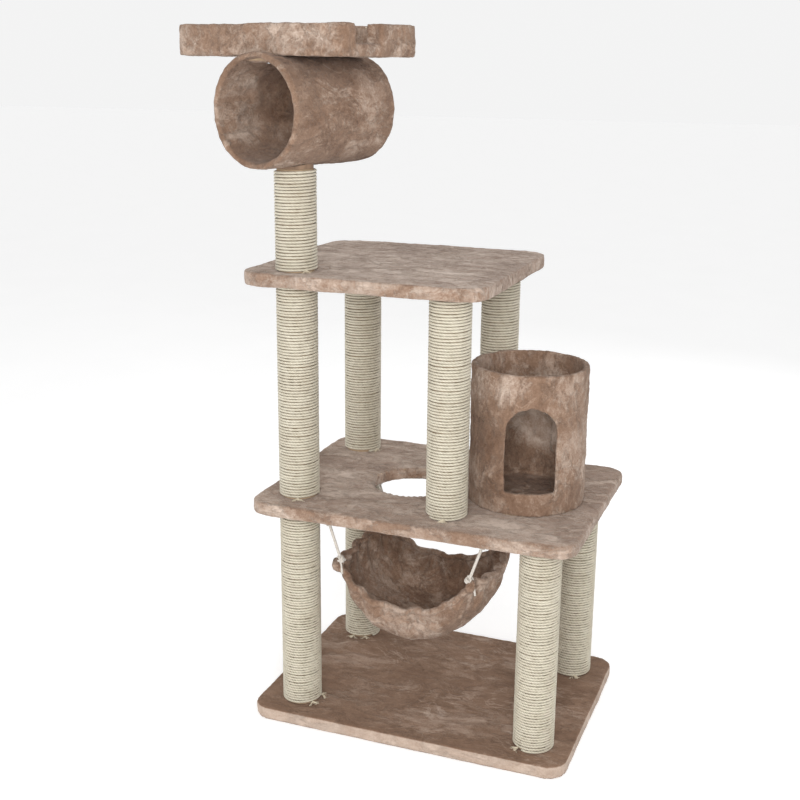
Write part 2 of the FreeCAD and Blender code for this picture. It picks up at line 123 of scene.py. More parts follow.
def make_world():
    """White surroundings at and below the horizon, dimmer overhead."""
    world = bpy.data.worlds.new("studio")
    bpy.context.scene.world = world
    world.use_nodes = True
    tree = world.node_tree
    place = tree.nodes.new("ShaderNodeTexCoord")
    split = tree.nodes.new("ShaderNodeSeparateXYZ")
    ramp = tree.nodes.new("ShaderNodeValToRGB")
    for element, position, level in zip(ramp.color_ramp.elements, (0.30, 0.70), (0.90, 0.68)):
        element.position = position
        element.color = (level, level, level, 1.0)
    tree.links.new(place.outputs["Generated"], split.inputs[0])
    tree.links.new(split.outputs["Z"], ramp.inputs["Fac"])
    tree.links.new(ramp.outputs["Color"], tree.nodes["Background"].inputs["Color"])
    tree.nodes["Background"].inputs["Strength"].default_value = 1.0


def make_studio():
    """Pale floor, white surroundings and soft lamps."""
    bpy.context.scene.view_settings.view_transform = "Standard"
    make_world()
    half = 30.0
    corners = [(-half, -half, 0), (half, -half, 0), (half, half, 0), (-half, half, 0)]
    floor = add_object("floor", mesh_from("floor", corners, [(0, 1, 2, 3)]))
    floor.location.z = CAD_BOX[0].z - 0.0005
    floor.data.materials.append(floor_material())
    area_light("key", (0.9, -2.9, 1.7), (0, 0, 0.75), 1.2, 62)
    area_light("fill", (-2.8, -1.6, 1.5), (0, 0, 0.7), 2.2, 14)
    area_light("back", (0.8, 2.8, 2.2), (0, 0, 0.9), 2.0, 22)


# ---- material tools ----------------------------------------------------------------

class Shader:
    """A Principled material with short calls for the nodes that feed it."""

    def __init__(self, name, roughness=0.9, sheen=0.0, sheen_roughness=0.5, metallic=0.0, specular=0.3):
        self.material = bpy.data.materials.new(name)
        self.material.use_nodes = True
        self.tree = self.material.node_tree
        self.bsdf = self.tree.nodes["Principled BSDF"]
        self.set("Roughness", roughness)
        self.set("Sheen Weight", sheen)
        self.set("Sheen Roughness", sheen_roughness)
        self.set("Metallic", metallic)
        self.set("Specular IOR Level", specular)
        self.place = self.tree.nodes.new("ShaderNodeTexCoord").outputs["Object"]

    def set(self, socket, value):
        self.bsdf.inputs[socket].default_value = value

    def link(self, value, socket):
        self.tree.links.new(value, socket)

    def math(self, operation, a, b=0.0, clamp=False):
        node = self.tree.nodes.new("ShaderNodeMath")
        node.operation = operation
        node.use_clamp = clamp
        for value, socket in ((a, node.inputs[0]), (b, node.inputs[1])):
            if isinstance(value, (int, float)):
                socket.default_value = value
            else:
                self.link(value, socket)
        return node.outputs[0]

    def stretched(self, scale, turn=(0.0, 0.0, 0.0), source=None):
        """Object coordinates scaled per axis, so that a texture is drawn out along one of them."""
        node = self.tree.nodes.new("ShaderNodeMapping")
        node.inputs["Scale"].default_value = scale
        node.inputs["Rotation"].default_value = turn
        self.link(source or self.place, node.inputs["Vector"])
        return node.outputs[0]

    def noise(self, scale, detail=3.0, rough=0.5, distortion=0.0, source=None):
        node = self.tree.nodes.new("ShaderNodeTexNoise")
        node.inputs["Scale"].default_value = scale
        node.inputs["Detail"].default_value = detail
        node.inputs["Roughness"].default_value = rough
        node.inputs["Distortion"].default_value = distortion
        self.link(source or self.place, node.inputs["Vector"])
        return node.outputs["Fac"]

    def fit(self, value, low, high, to_low=0.0, to_high=1.0):
        """Map a value's range onto another with soft ends."""
        node = self.tree.nodes.new("ShaderNodeMapRange")
        node.interpolation_type = "SMOOTHSTEP"
        for key, number in (("From Min", low), ("From Max", high), ("To Min", to_low), ("To Max", to_high)):
            node.inputs[key].default_value = number
        self.link(value, node.inputs["Value"])
        return node.outputs["Result"]

    def patch(self, place, radius, lift):
        """A soft-edged, ragged region round a point, as tall as lift."""
        far = self.tree.nodes.new("ShaderNodeVectorMath")
        far.operation = "DISTANCE"
        far.inputs[1].default_value = place
        self.link(self.place, far.inputs[0])
        edge = self.math("MULTIPLY", self.noise(16.0, 5.0, 0.65), radius * 0.9)
        ragged = self.math("ADD", far.outputs["Value"], edge)
        return self.fit(ragged, radius * 1.10, radius * 1.75, lift, 0.0)

    def side_light(self, lift):
        """Painted light: nothing on level faces and lift on side faces, where the sideways pile catches the light."""
        normal = self.tree.nodes.new("ShaderNodeTexCoord").outputs["Normal"]
        split = self.tree.nodes.new("ShaderNodeSeparateXYZ")
        self.link(normal, split.inputs[0])
        return self.fit(self.math("ABSOLUTE", split.outputs["Z"]), 0.35, 0.85, lift, 0.0)

    def ramp(self, value, stops):
        """Colours by value: stops are (position, (r, g, b))."""
        node = self.tree.nodes.new("ShaderNodeValToRGB")
        while len(node.color_ramp.elements) < len(stops):
            node.color_ramp.elements.new(0.5)
        for element, (position, colour) in zip(node.color_ramp.elements, stops):
            element.position = position
            element.color = (*colour, 1.0)
        self.link(value, node.inputs["Fac"])
        return node.outputs["Color"]

    def colour(self, value):
        self.link(value, self.bsdf.inputs["Base Color"])

    def bump(self, *layers):
        """Stack bumps: each layer is (height value, depth in metres)."""
        before = None
        for height, depth in layers:
            node = self.tree.nodes.new("ShaderNodeBump")
            node.inputs["Strength"].default_value = 1.0
            node.inputs["Distance"].default_value = depth
            self.link(height, node.inputs["Height"])
            if before:
                self.link(before, node.inputs["Normal"])
            before = node.outputs["Normal"]
        self.link(before, self.bsdf.inputs["Normal"])


PLUSH_DARK = (0.105, 0.052, 0.030)
PLUSH_MIDDLE = (0.250, 0.160, 0.110)
PLUSH_LIGHT = (0.53, 0.42, 0.345)


def plush_material(
    name, lean=0.0, grain=(1.0, 1.0, 1.0), scale=1.0, contrast=1.0, sheen=0.14, edge=0.0, marks=0.13, patches=(),
):
    """Crushed plush: its pile lies in crisp-edged flakes that read light or dark.

    edge paints light on side faces, where the sideways pile catches the light, and marks sets how pale the brushed
    lines are.
    Each patch is (place, radius, lift): a soft region made lighter or darker by lift, mostly where the pile was
    brushed one way; the condo's patch on its inside back wall is painted light.
    """
    s = Shader(name, roughness=0.95, sheen=sheen, sheen_roughness=0.5, specular=0.08)
    s.set("Sheen Tint", (1.0, 0.95, 0.90, 1.0))
    along = s.stretched(grain)
    wide = s.fit(s.noise(5.5 * scale, 6.0, 0.66, 0.8, along), 0.40, 0.60)
    flake = s.fit(s.noise(17.0 * scale, 7.0, 0.72, 0.5, along), 0.46, 0.57)
    crease = s.noise(60.0 * scale, 4.0, 0.65, 0.5, along)
    nap = s.noise(240.0, 3.0, 0.7)
    fibre = s.noise(900.0, 2.0, 0.6)
    ridge = s.math("ABSOLUTE", s.math("SUBTRACT", s.noise(13.0 * scale, 4.0, 0.6, 1.2, along), 0.5))
    mark = s.math("MULTIPLY", s.fit(ridge, 0.0, 0.030, 1.0, 0.0), s.fit(s.noise(7.0 * scale), 0.47, 0.60))
    tone = s.math("MULTIPLY", wide, 0.18 * contrast)
    for layer, share in ((flake, 0.11), (crease, 0.50), (nap, 0.40), (fibre, 0.22), (mark, marks / contrast)):
        tone = s.math("ADD", tone, s.math("MULTIPLY", layer, share * contrast))
    for place, radius, lift in patches:
        tone = s.math("ADD", tone, s.patch(place, radius, lift))
    # painted light: side faces lightened by edge
    if edge:
        tone = s.math("ADD", tone, s.side_light(edge))
    tone = s.math("ADD", tone, lean + 0.5 - 0.70 * contrast, clamp=True)
    s.colour(s.ramp(tone, [(0.14, PLUSH_DARK), (0.50, PLUSH_MIDDLE), (0.86, PLUSH_LIGHT)]))
    s.bump((flake, 0.0016), (crease, 0.0024), (nap, 0.0012), (fibre, 0.0006))
    return s.material


def sisal_material():
    """Twisted sisal: three strands round the rope, with straw-coloured fibres and painted shade in the gaps between
    turns.
    """
    s = Shader("sisal", roughness=0.85, sheen=0.15, specular=0.25)
    uv = s.tree.nodes.new("ShaderNodeUVMap")
    uv.uv_map = "rope"
    split = s.tree.nodes.new("ShaderNodeSeparateXYZ")
    s.link(uv.outputs[0], split.inputs[0])
    turns = s.math("ADD", split.outputs["X"], s.math("MULTIPLY", split.outputs["Y"], 3.0))
    strand = s.math("SINE", s.math("MULTIPLY", turns, TAU))
    strand = s.fit(strand, -1.0, 0.6)
    fibre = s.noise(1400.0, 2.0, 0.7)
    batch = s.noise(22.0, 3.0, 0.6)
    stain = s.noise(130.0, 2.0, 0.5)
    # painted shade: the rope's top and bottom sides, in the gaps between turns, darkened in broken dashes by crease
    across = s.math("COSINE", s.math("MULTIPLY", split.outputs["Y"], TAU))
    crease = s.math("MULTIPLY", s.fit(across, 0.25, 0.80, 1.0, 0.0), s.fit(s.noise(95.0, 3.0, 0.6), 0.47, 0.60))
    tone = s.math("ADD", s.math("MULTIPLY", strand, 0.16), s.math("MULTIPLY", crease, -0.38))
    tone = s.math("ADD", tone, 0.12)
    tone = s.math("ADD", tone, s.math("MULTIPLY", fibre, 0.38))
    tone = s.math("ADD", tone, s.math("MULTIPLY", batch, 0.30))
    tone = s.math("ADD", tone, s.math("MULTIPLY", stain, 0.22), clamp=True)
    s.colour(s.ramp(tone, [(0.16, (0.11, 0.08, 0.048)), (0.44, (0.39, 0.335, 0.245)), (0.80, (0.64, 0.60, 0.49))]))
    s.bump((strand, 0.00035), (fibre, 0.0003))
    return s.material


def frayed_material():
    """Loose sisal fibre."""
    s = Shader("loose_sisal", roughness=0.8, sheen=0.15, specular=0.25)
    fibre = s.noise(1100.0, 2.0, 0.7)
    s.colour(s.ramp(fibre, [(0.3, (0.40, 0.32, 0.21)), (0.7, (0.76, 0.69, 0.55))]))
    s.bump((fibre, 0.0002))
    return s.material


def cord_material():
    """Braided off-white cord."""
    s = Shader("braided_cord", roughness=0.8, sheen=0.2, specular=0.3)
    cells = s.tree.nodes.new("ShaderNodeTexVoronoi")
    cells.inputs["Scale"].default_value = 620.0
    s.link(s.stretched((1.0, 1.0, 0.45)), cells.inputs["Vector"])
    braid = cells.outputs["Distance"]
    wear = s.noise(60.0, 3.0)
    tone = s.math("ADD", s.math("MULTIPLY", braid, 0.7), s.math("MULTIPLY", wear, 0.5), clamp=True)
    s.colour(s.ramp(tone, [(0.1, (0.74, 0.70, 0.64)), (0.9, (0.46, 0.42, 0.37))]))
    s.bump((braid, -0.0006))
    return s.material


def particle_board_material():
    """Pressed wood chips."""
    s = Shader("particle_board", roughness=0.8, specular=0.3)
    cells = s.tree.nodes.new("ShaderNodeTexVoronoi")
    cells.inputs["Scale"].default_value = 210.0
    s.link(s.stretched((1.0, 0.45, 1.0)), cells.inputs["Vector"])
    chip = s.math("MULTIPLY", cells.outputs["Distance"], 1.2)
    tone = s.math("ADD", chip, s.math("MULTIPLY", s.noise(90.0, 4.0), 0.5), clamp=True)
    s.colour(s.ramp(tone, [(0.2, (0.36, 0.24, 0.13)), (0.55, (0.56, 0.42, 0.26)), (0.9, (0.70, 0.57, 0.39))]))
    s.bump((chip, 0.0003))
    return s.material


def plug_wood_material():
    """Turned brown-stained softwood with straight grain."""
    s = Shader("plug_wood", roughness=0.65, specular=0.35)
    grain = s.noise(90.0, 4.0, 0.6, 0.6, s.stretched((1.0, 1.0, 0.12)))
    s.colour(s.ramp(grain, [(0.3, (0.15, 0.092, 0.056)), (0.7, (0.29, 0.19, 0.125))]))
    s.bump((grain, 0.0003))
    return s.material


def cardboard_material():
    """Spiral-wound grey-brown card."""
    s = Shader("cardboard", roughness=0.9, specular=0.2)
    pulp = s.noise(420.0, 3.0, 0.7)
    wide = s.noise(25.0, 2.0)
    tone = s.math("ADD", s.math("MULTIPLY", pulp, 0.6), s.math("MULTIPLY", wide, 0.4))
    s.colour(s.ramp(tone, [(0.3, (0.30, 0.21, 0.13)), (0.7, (0.46, 0.34, 0.23))]))
    s.bump((pulp, 0.0002))
    return s.material


def foam_material():
    """Open-cell foam."""
    s = Shader("foam", roughness=0.95, specular=0.1)
    cell = s.noise(900.0, 2.0, 0.6)
    s.colour(s.ramp(cell, [(0.3, (0.62, 0.56, 0.40)), (0.7, (0.86, 0.82, 0.68))]))
    s.bump((cell, 0.0006))
    return s.material


def steel_material():
    """Zinc-plated steel with a fine drawn grain."""
    s = Shader("zinc_steel", roughness=0.34, metallic=1.0, specular=0.5)
    grain = s.noise(700.0, 3.0, 0.6, 0.0, s.stretched((1.0, 1.0, 0.1)))
    spangle = s.noise(120.0, 2.0)
    tone = s.math("ADD", s.math("MULTIPLY", grain, 0.5), s.math("MULTIPLY", spangle, 0.5))
    s.colour(s.ramp(tone, [(0.3, (0.50, 0.51, 0.52)), (0.7, (0.76, 0.77, 0.78))]))
    s.link(s.fit(spangle, 0.3, 0.7, 0.26, 0.44), s.bsdf.inputs["Roughness"])
    s.bump((grain, 0.0001))
    return s.material


def floor_material():
    """Pale, nearly white floor."""
    s = Shader("pale_floor", roughness=0.9, specular=0.1)
    s.set("Emission Color", (1.0, 1.0, 1.0, 1.0))
    s.set("Emission Strength", 0.27)
    s.colour(s.ramp(s.noise(3.0, 2.0), [(0.0, (0.84, 0.84, 0.84)), (1.0, (0.88, 0.88, 0.88))]))
    return s.material


# ---- mesh tools --------------------------------------------------------------------

def add_object(name, mesh):
    """Link a new object that holds the mesh."""
    thing = bpy.data.objects.new(name, mesh)
    bpy.context.scene.collection.objects.link(thing)
    return thing


def mesh_from(name, points, faces):
    """A mesh from points and faces with its normals facing out."""
    mesh = bpy.data.meshes.new(name)
    mesh.from_pydata([tuple(p) for p in points], [], faces)
    mesh.update()
    return mesh


def piece(name, mesh, material, body, replaced=()):
    """A finished visible piece that rides on a body and stands for CAD nodes."""
    mesh.materials.clear()
    mesh.materials.append(material)
    mesh.shade_smooth()
    thing = add_object(name, mesh)
    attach(thing, body)
    if replaced:
        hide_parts(*replaced)
    return thing


def resolved(thing):
    """The mesh of an object with its modifiers applied; the object is removed."""
    bpy.context.view_layer.update()
    graph = bpy.context.evaluated_depsgraph_get()
    mesh = bpy.data.meshes.new_from_object(thing.evaluated_get(graph))
    bpy.data.objects.remove(thing)
    return mesh


def remeshed(mesh, voxel, smooth=3, cutters=(), additions=()):
    """Union and cut solids, then rebuild the surface in even quads with soft edges."""
    thing = add_object("work", mesh)
    for others, operation in ((additions, "UNION"), (cutters, "DIFFERENCE")):
        for other in others:
            boolean = thing.modifiers.new("boolean", "BOOLEAN")
            boolean.operation = operation
            boolean.object = other
            boolean.solver = "EXACT"
    remesh = thing.modifiers.new("remesh", "REMESH")
    remesh.mode = "VOXEL"
    remesh.voxel_size = voxel
    relax = thing.modifiers.new("smooth", "SMOOTH")
    relax.factor = 0.5
    relax.iterations = smooth
    made = resolved(thing)
    for other in list(cutters) + list(additions):
        bpy.data.objects.remove(other)
    return made


def points_of(mesh):
    """Vertex positions as an array."""
    values = np.zeros(len(mesh.vertices) * 3)
    mesh.vertices.foreach_get("co", values)
    return values.reshape(-1, 3)


def normals_of(mesh):
    """Vertex normals as an array."""
    values = np.zeros(len(mesh.vertices) * 3)
    mesh.vertices.foreach_get("normal", values)
    return values.reshape(-1, 3)


def put_points(mesh, values):
    """Write vertex positions back."""
    mesh.vertices.foreach_set("co", np.asarray(values, float).ravel())
    mesh.update()


def lumps(points, scale, octaves=2, seed=0.0):
    """Smooth noise about 0 at each point, with features 1/scale across."""
    shift = Vector((seed * 7.1, seed * 3.7, seed * 5.3))
    return np.array([noise.fractal(Vector(p) * scale + shift, 1.0, 2.0, octaves) for p in points])


def puff(mesh, layers, seed=0.0):
    """Push a surface along its normals by noise layers of (scale per metre, height in metres)."""
    points = points_of(mesh)
    normals = normals_of(mesh)
    offset = np.zeros(len(points))
    for number, (scale, height) in enumerate(layers):
        offset += height * lumps(points, scale, 2, seed + number)
    put_points(mesh, points + normals * offset[:, None])


def rounded_outline(width, depth, corner, per_corner=10):
    """Corner-rounded rectangle about the origin as points, counter-clockwise."""
    outline = []
    for k, (sx, sy) in enumerate(((1, -1), (1, 1), (-1, 1), (-1, -1))):
        cx = sx * (width / 2 - corner)
        cy = sy * (depth / 2 - corner)
        for i in range(per_corner + 1):
            a = math.radians(-90 + 90 * k + 90 * i / per_corner)
            outline.append((cx + corner * math.cos(a), cy + corner * math.sin(a)))
    return outline


def slab_mesh(name, outline, bottom, top):
    """A closed plate over an outline."""
    count = len(outline)
    points = [(x, y, bottom) for x, y in outline] + [(x, y, top) for x, y in outline]
    faces = [tuple(reversed(range(count))), tuple(range(count, 2 * count))]
    for i in range(count):
        j = (i + 1) % count
        faces.append((i, j, count + j, count + i))
    return mesh_from(name, points, faces)


def circle_outline(r, count=128):
    """A circle as points, counter-clockwise."""
    return [(r * math.cos(TAU * i / count), r * math.sin(TAU * i / count)) for i in range(count)]


def moved(mesh, matrix):
    """The mesh, transformed."""
    mesh.transform(matrix)
    mesh.update()
    return mesh


# ---- plush-covered decks -----------------------------------------------------------

DECK_VOXEL = 0.0038
HOLE_CENTRE = (-0.066, -0.011)
HOLE_R = 0.092
DECK_CORNER = {"base_cover": 0.045, "mid_cover": 0.048, "upper_cover": 0.060}


def corner_puckers(mesh, node, corner):
    """Small gathers where the plush is pulled round a deck's corners."""
    low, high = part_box(node)
    points = points_of(mesh)
    normals = normals_of(mesh)
    side = 1 - np.abs(normals[:, 2])
    offset = np.zeros(len(points))
    for sx in (-1, 1):
        for sy in (-1, 1):
            cx = (high.x if sx > 0 else low.x) - sx * corner
            cy = (high.y if sy > 0 else low.y) - sy * corner
            dx = (points[:, 0] - cx) * sx
            dy = (points[:, 1] - cy) * sy
            inside = (dx > -0.01) & (dy > -0.01)
            angle = np.arctan2(dy, dx)
            offset += np.where(inside, np.sin(angle * 26 + sx + 2 * sy) * side * 0.0005, 0.0)
    put_points(mesh, points + normals * offset[:, None])


def hole_pleats(mesh, level):
    """Radial gathers where the top plush is pulled down into the way through."""
    points = points_of(mesh)
    dx, dy = points[:, 0] - HOLE_CENTRE[0], points[:, 1] - HOLE_CENTRE[1]
    away = np.hypot(dx, dy) - HOLE_R
    angle = np.arctan2(dy, dx)
    fade = np.exp(-np.clip(away, 0, None) / 0.016) * (points[:, 2] > level - 0.012)
    wave = np.sin(angle * 41 + 1.5 * np.sin(angle * 5)) * (0.7 + 0.3 * np.sin(angle * 3))
    points[:, 2] += (0.0016 * wave - 0.0012) * fade
    put_points(mesh, points)


def make_deck_cover(node, material, seed, hole=False, open_below=False):
    """A deck's plush skin: soft-edged, slightly uneven, gathered at the corners."""
    low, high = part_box(node)
    middle = (low + high) / 2
    outline = rounded_outline(high.x - low.x, high.y - low.y, DECK_CORNER[node])
    outline = [(x + middle.x, y + middle.y) for x, y in outline]
    cutters = []
    if hole:
        ring = [(x + HOLE_CENTRE[0], y + HOLE_CENTRE[1]) for x, y in circle_outline(HOLE_R)]
        cutters.append(add_object("hole", slab_mesh("hole", ring, low.z - 0.02, high.z + 0.02)))
    mesh = remeshed(slab_mesh(node, outline, low.z, high.z), DECK_VOXEL, 4, cutters)
    puff(mesh, ((14.0, 0.0013), (48.0, 0.0007), (120.0, 0.0005)), seed)
    corner_puckers(mesh, node, DECK_CORNER[node])
    if hole:
        hole_pleats(mesh, high.z)
    if open_below:
        mesh = opened_below(mesh, low.z + 0.0004)
    return piece(node + "_plush", mesh, material, "frame", [node])


def opened_below(mesh, level):
    """Drop the underside and give the skin a thickness, so that the board shows below."""
    work = bmesh.new()
    work.from_mesh(mesh)
    under = [f for f in work.faces if f.normal.z < -0.75]
    bmesh.ops.delete(work, geom=under, context="FACES")
    for edge in work.edges:
        if edge.is_boundary:
            for vertex in edge.verts:
                vertex.co.z = level
    work.to_mesh(mesh)
    work.free()
    thing = add_object("work", mesh)
    thick = thing.modifiers.new("thick", "SOLIDIFY")
    thick.thickness = 0.0026
    thick.offset = -1.0
    return resolved(thing)


# ---- condo -------------------------------------------------------------------------

DOOR_TURN = math.radians(17.8)
DOOR_HALF = 0.053
DOOR_SILL = 0.048
DOOR_TOP = 0.233
DRUM_LINING_R = 0.1133
DRUM_FLOOR = 0.015
DRUM_VOXEL = 0.0033


def door_cutter(place):
    """The arched doorway as a bar out through the drum's front wall."""
    spring = DOOR_TOP - DOOR_HALF
    outline = [(-DOOR_HALF, DOOR_SILL), (DOOR_HALF, DOOR_SILL)]
    for i in range(25):
        a = math.pi * i / 24
        outline.append((DOOR_HALF * math.cos(a), spring + DOOR_HALF * math.sin(a)))
    count = len(outline)
    points = [(x, -0.01, z) for x, z in outline] + [(x, -0.3, z) for x, z in outline]
    faces = [tuple(reversed(range(count))), tuple(range(count, 2 * count))]
    faces += [(i, (i + 1) % count, count + (i + 1) % count, count + i) for i in range(count)]
    mesh = mesh_from("door", points, faces)
    moved(mesh, Matrix.Translation(place) @ Matrix.Rotation(DOOR_TURN, 4, "Z"))
    return add_object("door", mesh)


def make_condo(material):
    """The drum's plush, inside and out, with a soft rim and a soft-edged door."""
    low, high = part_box("condo_cover")
    middle = (low + high) / 2
    place = Vector((middle.x, middle.y, low.z))
    radius = (high.x - low.x) / 2
    body = slab_mesh("drum", circle_outline(radius), 0.0, high.z - low.z)
    hollow = slab_mesh("hollow", circle_outline(DRUM_LINING_R), DRUM_FLOOR, 0.5)
    moved(body, Matrix.Translation(place))
    moved(hollow, Matrix.Translation(place))
    mesh = remeshed(body, DRUM_VOXEL, 4, [add_object("hollow", hollow), door_cutter(place)])
    puff(mesh, ((11.0, 0.0016), (45.0, 0.0012), (120.0, 0.0009)), 31.0)
    return piece("condo_plush", mesh, material, "frame", ["condo_cover"])


# ---- tunnel ------------------------------------------------------------------------

LOOKOUT_TURN = math.radians(-15.5)
TUNNEL_R = 0.1121
TUNNEL_LENGTH = 0.3114
TUNNEL_WALL = 0.012
CROWN_FLAT = 0.1042
TRAY_DEPTH = 0.246
TRAY_BACK = -0.002
TUNNEL_AHEAD = 0.037


def lookout_matrix():
    """From the tunnel's own axes to the row frame."""
    pivot = Vector(joint("lookout_swivel")["pos_m"])
    turn = Matrix.Rotation(LOOKOUT_TURN, 4, "Z")
    tunnel_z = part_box("tunnel_cover")[0].z + TUNNEL_R
    ahead = turn @ Vector((0, TUNNEL_AHEAD, 0))
    return Matrix.Translation((pivot.x + ahead.x, pivot.y + ahead.y, tunnel_z)) @ turn


def tunnel_profile():
    """The wall's closed section along the tunnel: (radius, distance along) round the rim and back."""
    half = TUNNEL_LENGTH / 2
    inner = TUNNEL_R - TUNNEL_WALL
    rim = TUNNEL_WALL / 2
    steps = 70
    profile = []
    for i in range(steps + 1):
        profile.append((TUNNEL_R, -half + rim + (TUNNEL_LENGTH - 2 * rim) * i / steps))
    for i in range(1, 8):
        a = math.pi / 2 - math.pi * i / 8
        profile.append((TUNNEL_R - rim + rim * math.sin(a), half - rim + rim * math.cos(a)))
    for i in range(steps + 1):
        profile.append((inner, half - rim - (TUNNEL_LENGTH - 2 * rim) * i / steps))
    for i in range(1, 8):
        a = -math.pi / 2 - math.pi * i / 8
        profile.append((TUNNEL_R - rim + rim * math.sin(a), -half + rim + rim * math.cos(a)))
    return profile


def make_tunnel(material):
    """The tunnel's plush: round at its ends, pressed flat under the tray, loose inside."""
    profile = tunnel_profile()
    around = 180
    half_flat = TRAY_DEPTH / 2
    points = []
    for radius, along in profile:
        inset = TUNNEL_R - radius
        ease = min(1.0, max(0.0, (half_flat + 0.010 - abs(along - TRAY_BACK)) / 0.016))
        ease = ease * ease * (3 - 2 * ease)
        for k in range(around):
            a = TAU * k / around
            x = radius * math.sin(a)
            z = radius * math.cos(a)
            flat = CROWN_FLAT - 0.0006 - inset
            if z > flat:
                z = z + (flat - z) * ease
            points.append(Vector((x, along, z)))
    faces = []
    rows = len(profile)
    for i in range(rows):
        for k in range(around):
            j, m = (i + 1) % rows, (k + 1) % around
            faces.append((i * around + k, i * around + m, j * around + m, j * around + k))
    mesh = mesh_from("tunnel", points, faces)
    puff(mesh, ((12.0, 0.0012), (48.0, 0.0010), (120.0, 0.0008)), 47.0)
    loosen_lining(mesh)
    moved(mesh, lookout_matrix())
    return piece("tunnel_plush", mesh, material, "lookout", ["tunnel_cover"])


def loosen_lining(mesh):
    """Let the lining stand off the wall in soft folds, away from the rim, the crown and the bolt."""
    points = points_of(mesh)
    radius = np.hypot(points[:, 0], points[:, 2])
    inner = radius < TUNNEL_R - TUNNEL_WALL * 0.7
    away = np.clip((TUNNEL_LENGTH / 2 - 0.012 - np.abs(points[:, 1])) / 0.03, 0, 1)
    sides = np.clip(1.15 - np.abs(points[:, 2]) / radius * 1.2, 0, 1)
    fold = np.maximum(0, lumps(points, 17.0, 3, 5.0) + 0.12)
    inward = np.where(inner, fold * away * sides * 0.012, 0.0)
    points[:, 0] *= 1 - inward / radius
    points[:, 2] *= 1 - inward / radius
    put_points(mesh, points)


# ---- tray --------------------------------------------------------------------------

TRAY_WIDTH = 0.447
TRAY_LEFT = 0.025
TRAY_HEIGHT = 0.060
TRAY_FLOOR = 0.022
TRAY_VOXEL = 0.0035
TRAY_CORNER = 0.030
SEAT_CORNER = 0.012
RIM_WIDTH = 0.040
ENTRY_AT = 0.080
ENTRY_WIDTH = 0.082


def box_mesh(name, low, high):
    """A closed box."""
    outline = [(low[0], low[1]), (high[0], low[1]), (high[0], high[1]), (low[0], high[1])]
    return slab_mesh(name, outline, low[2], high[2])


def entry_puckers(mesh):
    """Upright gathers in the rim's plush on both sides of the entry."""
    points = points_of(mesh)
    normals = normals_of(mesh)
    along = points[:, 0] + points[:, 1]
    near = np.clip((points[:, 0] - 0.075) / 0.05, 0, 1) * (1 - np.abs(normals[:, 2])) ** 2
    wave = np.sin(along * 265 + 3.0 * np.sin(along * 47)) * (0.6 + 0.4 * np.sin(along * 83))
    put_points(mesh, points + normals * (wave * near * 0.0013)[:, None])


def make_tray(material):
    """The tray's plush: flat seat, padded rim with one way in."""
    bottom = CROWN_FLAT + 0.0003
    top = bottom + TRAY_HEIGHT
    shift = Matrix.Translation((-TRAY_LEFT, TRAY_BACK, 0))
    body = slab_mesh("tray", rounded_outline(TRAY_WIDTH, TRAY_DEPTH, TRAY_CORNER), bottom, top)
    seat_outline = rounded_outline(TRAY_WIDTH - 2 * RIM_WIDTH, TRAY_DEPTH - 2 * RIM_WIDTH, SEAT_CORNER)
    seat = slab_mesh("seat", seat_outline, bottom + TRAY_FLOOR, top + 0.05)
    right = TRAY_WIDTH / 2
    front = -TRAY_DEPTH / 2 + ENTRY_AT - ENTRY_WIDTH / 2
    entry = box_mesh(
        "entry",
        (right - RIM_WIDTH - 0.01, front, bottom + TRAY_FLOOR),
        (right + 0.05, front + ENTRY_WIDTH, top + 0.05),
    )
    for mesh in (body, seat, entry):
        moved(mesh, shift)
    mesh = remeshed(body, TRAY_VOXEL, 5, [add_object("seat", seat), add_object("entry", entry)])
    puff(mesh, ((13.0, 0.0022), (42.0, 0.0014), (120.0, 0.0008)), 63.0)
    entry_puckers(mesh)
    moved(mesh, lookout_matrix())
    thing = piece("tray_plush", mesh, material, "lookout", ["tray_cover"])
    return thing


# ---- sisal wraps -------------------------------------------------------------------

ROPE_R = 0.00278
ROPE_PITCH = 0.00635
ROPE_SIDES = 8
ROPE_STEPS = 60
STRAND_LAY = 0.0066


def wander(t, knots_per_turn, size, seed):
    """A smooth random wander along the rope."""
    rng = np.random.default_rng(seed)
    grid = np.arange(int(t[-1] * knots_per_turn) + 4) / knots_per_turn
    value = rng.uniform(-1, 1, len(grid))
    value = (np.roll(value, 1) + 2 * value + np.roll(value, -1)) / 3
    return size * np.interp(t, grid, value)


def rope_path(x, y, low, high, core, seed):
    """Centreline of a rope wound round a post, a little uneven from turn to turn."""
    turns = round((high - low - 2 * ROPE_R) / ROPE_PITCH)
    pitch = (high - low - 2 * ROPE_R) / turns
    count = turns * ROPE_STEPS + 1
    t = np.arange(count) / ROPE_STEPS
    lift = wander(t, 5.3, 0.00052, seed) + wander(t, 14.0, 0.00028, seed + 1)
    out = wander(t, 7.1, 0.00022, seed + 2)
    angle = t * TAU + seed
    radius = core + ROPE_R + out
    z = np.clip(low + ROPE_R + t * pitch + lift, low + ROPE_R, high - ROPE_R)
    return np.stack([x + radius * np.cos(angle), y + radius * np.sin(angle), z], 1), angle


